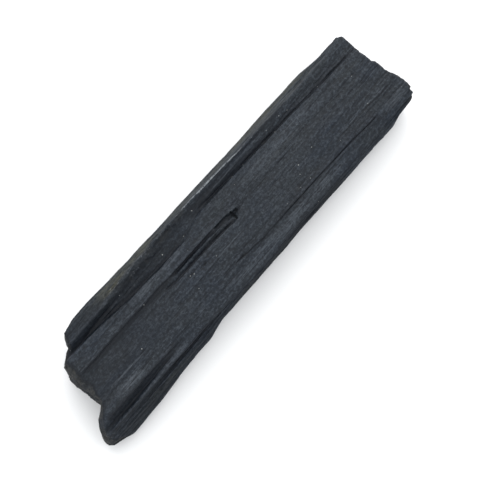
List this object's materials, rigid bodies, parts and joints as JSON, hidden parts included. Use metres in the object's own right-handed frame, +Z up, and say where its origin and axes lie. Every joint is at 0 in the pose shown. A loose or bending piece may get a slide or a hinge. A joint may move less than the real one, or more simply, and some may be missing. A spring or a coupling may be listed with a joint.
{
  "type": "tourmaline crystal",
  "caption": "Long black tourmaline rod lying flat, ribbed and striated along its length, with rough broken ends and a short spur at one end.",
  "frame": {"origin": "middle of the rod's box, on the plane it rests on", "axes": "+X along the rod from the spurred end to the plain end, +Y across it towards the raised bar, +Z up, out of the broad upper face"},
  "size_m": [0.0834, 0.0214, 0.0117],
  "materials": {
    "black_tourmaline": "dark bluish black with a dull sheen, finely striated along the length, with rougher brownish grey fractures at both ends"
  },
  "bodies": {
    "root": {"tourmaline_crystal": "black_tourmaline"}
  },
  "joints": []
}
